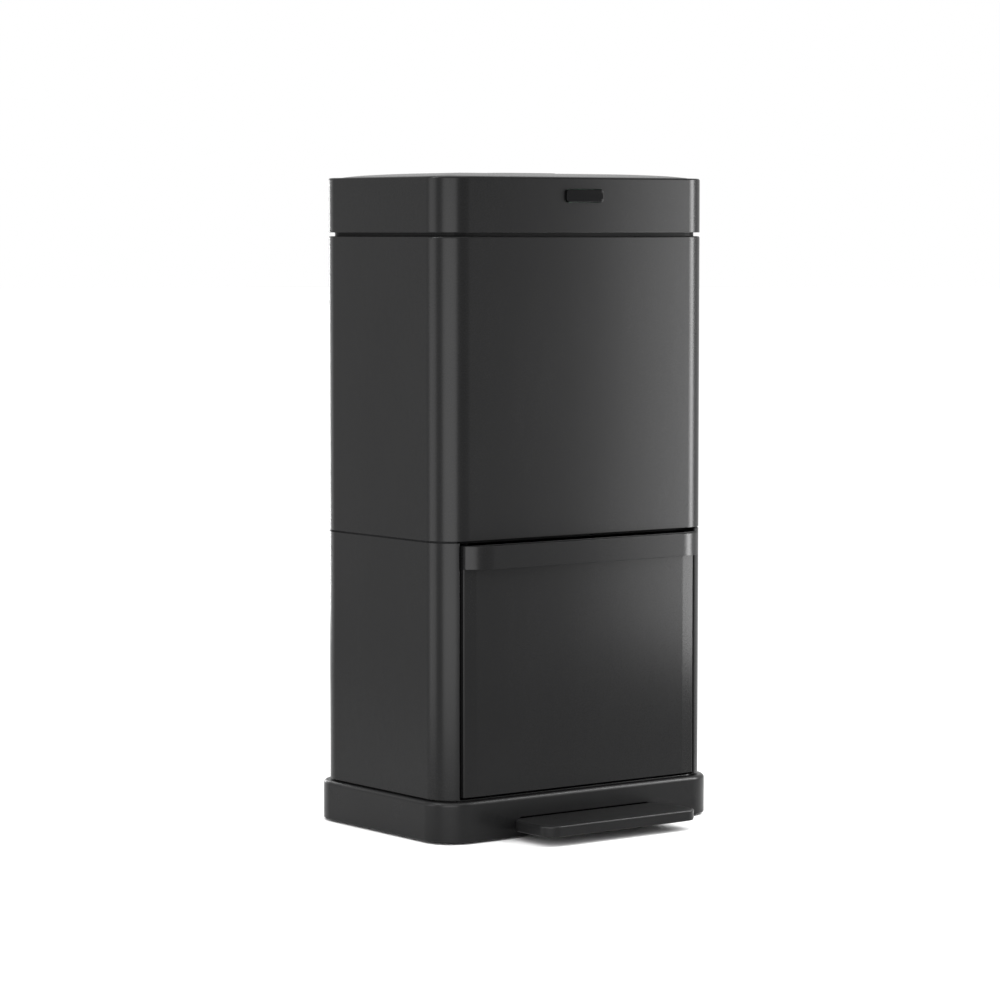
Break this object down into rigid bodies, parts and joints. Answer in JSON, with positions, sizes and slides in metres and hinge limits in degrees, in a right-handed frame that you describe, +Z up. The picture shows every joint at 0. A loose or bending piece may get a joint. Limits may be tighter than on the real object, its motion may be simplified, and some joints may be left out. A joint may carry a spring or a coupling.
{
  "type": "trash compactor",
  "caption": "Two-tier kitchen trash compactor with a pedal lid, a hand press in the lid and a pull-out lower drawer, in satin black steel.",
  "frame": {"origin": "on the floor, under the middle of the whole outline, pedal included", "axes": "+Z up, +Y to the rear, +X to the right of a person who faces the front"},
  "size_m": [0.413, 0.3522, 0.7798],
  "materials": {
    "coated_steel": "satin black powder coat",
    "satin_plastic": "satin moulded black",
    "lining_plastic": "fine-textured charcoal",
    "bucket_plastic": "dark grey moulded",
    "gloss_black": "gloss black",
    "bare_steel": "zinc-plated",
    "spring_steel": "oiled spring steel",
    "rubber": "matte black rubber",
    "carbon_felt": "charcoal felt",
    "circuit_board": "solder-masked board"
  },
  "bodies": {
    "cabinet": {"base_plinth": "satin_plastic", "base_floor": "lining_plastic", "foot_front_left": "rubber", "foot_rear_left": "rubber", "foot_front_right": "rubber", "foot_rear_right": "rubber", "shaft_bracket_left": "bare_steel", "shaft_bracket_right": "bare_steel", "pedal_shaft": "bare_steel", "pedal_spring": "spring_steel", "lower_shell": "coated_steel", "mid_deck": "lining_plastic", "runner_outer_left": "bare_steel", "runner_outer_right": "bare_steel", "upper_shell": "coated_steel", "rod_guide": "lining_plastic", "upper_bucket": "bucket_plastic", "bag_ring": "satin_plastic", "collar_skin": "coated_steel", "collar_frame": "satin_plastic", "hinge_pin_left": "bare_steel", "hinge_pin_right": "bare_steel", "damper_housing": "satin_plastic", "indicator_board": "circuit_board", "coin_cell": "bare_steel", "cell_clip": "spring_steel"},
    "lid": {"lid_skin": "coated_steel", "lid_frame": "lining_plastic", "lid_seal": "rubber", "lid_crank": "bare_steel", "crank_roller": "spring_steel", "damper_rotor": "satin_plastic", "filter_cartridge": "carbon_felt", "filter_cover": "satin_plastic", "press_spring_left": "spring_steel", "press_spring_right": "spring_steel"},
    "sleeve": {"press_sleeve": "satin_plastic"},
    "press": {"press_column": "satin_plastic", "press_plate": "lining_plastic"},
    "grip": {"press_grip": "satin_plastic", "grip_bar": "bare_steel"},
    "pedal": {"pedal_cover": "satin_plastic", "pedal_lever": "bare_steel"},
    "lift_rod": {"push_rod": "bare_steel"},
    "drawer": {"drawer_tray": "lining_plastic", "drawer_bucket": "bucket_plastic", "drawer_panel": "coated_steel", "drawer_handle": "coated_steel", "runner_inner_left": "bare_steel", "runner_inner_right": "bare_steel"},
    "middle_runners": {"runner_middle_left": "bare_steel", "runner_middle_right": "bare_steel"},
    "button": {"status_button": "gloss_black"}
  },
  "joints": [
    {"name": "lid_hinge", "type": "hinge", "parent": "cabinet", "child": "lid", "pos_m": [0, 0.1569, 0.7695], "axis": [-1, 0, 0], "range_deg": [0, 75]},
    {"name": "pedal_hinge", "type": "hinge", "parent": "cabinet", "child": "pedal", "pos_m": [0, -0.0561, 0.0275], "axis": [1, 0, 0], "range_deg": [0, 5], "deforming": ["pedal_spring"]},
    {"name": "rod_lift", "type": "slide", "parent": "cabinet", "child": "lift_rod", "axis": [0, 0, 1], "range_m": [0, 0.0174]},
    {"name": "press_slide", "type": "slide", "parent": "lid", "child": "press", "axis": [0, 0, -1], "range_m": [0, 0.075], "stiffness_N_per_m": 60, "springref_m": -0.25, "deforming": ["press_spring_left", "press_spring_right"]},
    {"name": "sleeve_slide", "type": "slide", "parent": "lid", "child": "sleeve", "axis": [0, 0, -1], "range_m": [0, 0.0375]},
    {"name": "grip_pull", "type": "slide", "parent": "press", "child": "grip", "axis": [0, 0, 1], "range_m": [0, 0.065]},
    {"name": "drawer_slide", "type": "slide", "parent": "cabinet", "child": "drawer", "axis": [0, -1, 0], "range_m": [0, 0.19]},
    {"name": "middle_runner_slide", "type": "slide", "parent": "cabinet", "child": "middle_runners", "axis": [0, -1, 0], "range_m": [0, 0.095]},
    {"name": "button_press", "type": "slide", "parent": "cabinet", "child": "button", "axis": [0, 1, 0], "range_m": [0, 0.0012], "stiffness_N_per_m": 500, "springref_m": -0.001}
  ],
  "couplings": [
    {"joint": "pedal_hinge", "follows": "lid_hinge", "ratio": 0.066667},
    {"joint": "rod_lift", "follows": "lid_hinge", "m_per_rad": 0.013293},
    {"joint": "sleeve_slide", "follows": "press_slide", "ratio": 0.5},
    {"joint": "middle_runner_slide", "follows": "drawer_slide", "ratio": 0.5}
  ]
}
